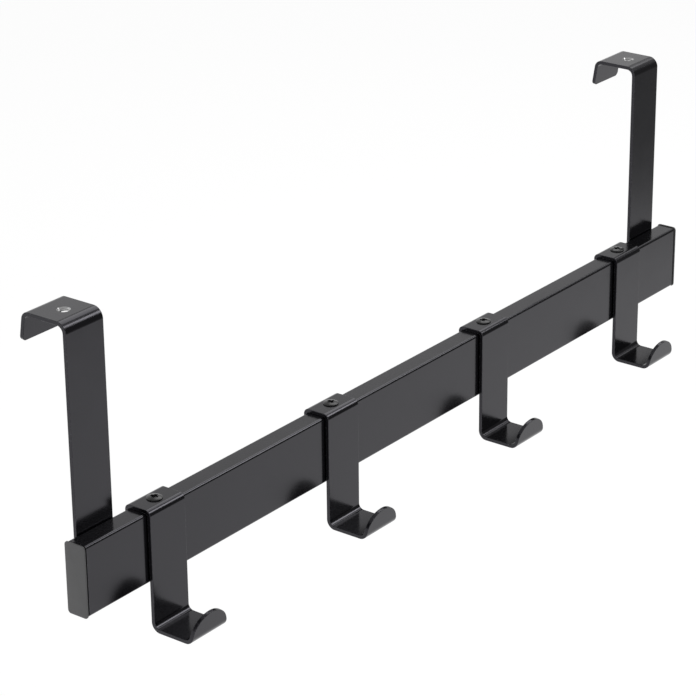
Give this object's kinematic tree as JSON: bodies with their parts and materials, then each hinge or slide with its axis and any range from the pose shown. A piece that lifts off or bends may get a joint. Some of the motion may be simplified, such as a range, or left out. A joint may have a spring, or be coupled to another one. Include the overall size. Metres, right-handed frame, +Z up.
{
  "type": "over-door hook rail",
  "caption": "Flat-tube rail with end caps, hung over a door by two bent strap brackets, with round-ended saddle hooks screwed to its top.",
  "frame": {"origin": "midway between the two tapped holes, in the plane of the flanges' undersides, which rests on the door's top edge", "axes": "+X along the rail, +Y from the room through the door (the hooks point to -Y), +Z up"},
  "size_m": [0.52, 0.0684, 0.1675],
  "materials": {
    "black_powder_coat": "satin black powder coat on steel",
    "black_cap_plastic": "satin black moulded plastic",
    "black_screw_steel": "black-finished steel"
  },
  "bodies": {
    "root": {"rail_tube": "black_powder_coat", "left_end_cap": "black_cap_plastic", "right_end_cap": "black_cap_plastic", "left_door_bracket": "black_powder_coat", "right_door_bracket": "black_powder_coat", "coat_hook_1": "black_powder_coat", "coat_hook_2": "black_powder_coat", "coat_hook_3": "black_powder_coat", "coat_hook_4": "black_powder_coat", "hook_screws": "black_screw_steel"}
  },
  "joints": []
}
